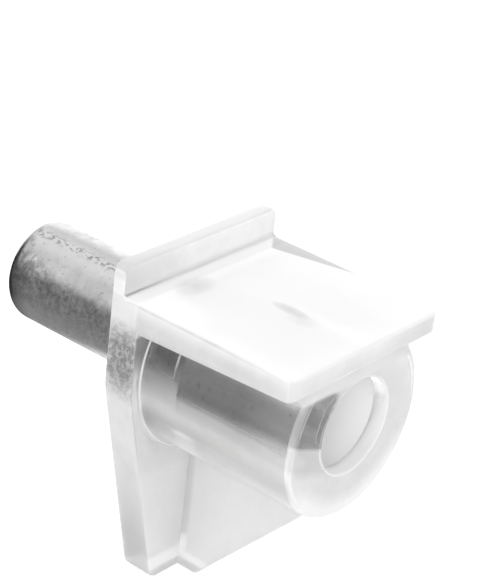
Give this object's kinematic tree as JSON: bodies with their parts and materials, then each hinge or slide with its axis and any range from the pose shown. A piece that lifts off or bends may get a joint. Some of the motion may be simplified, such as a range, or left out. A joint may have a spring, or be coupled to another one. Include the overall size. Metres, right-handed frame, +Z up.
{
  "type": "shelf support pin",
  "caption": "Clear moulded shelf support with a flat ledge, a low back lip, a round boss and a bracing web, moulded on a steel pin that plugs into a cabinet side.",
  "frame": {"origin": "on the pin's axis, in the plane of the bracket's back face", "axes": "+Y out along the pin's free end, into the cabinet side; -Y towards the front of the ledge; +Z up, out of the shelf face; +X to the right seen from the front"},
  "size_m": [0.0102, 0.0194, 0.0169],
  "materials": {
    "clear_plastic": "glossy, clear with a slight milkiness",
    "steel": "turned and zinc plated, slightly mottled"
  },
  "bodies": {
    "root": {"bracket": "clear_plastic", "pin": "steel"}
  },
  "joints": []
}
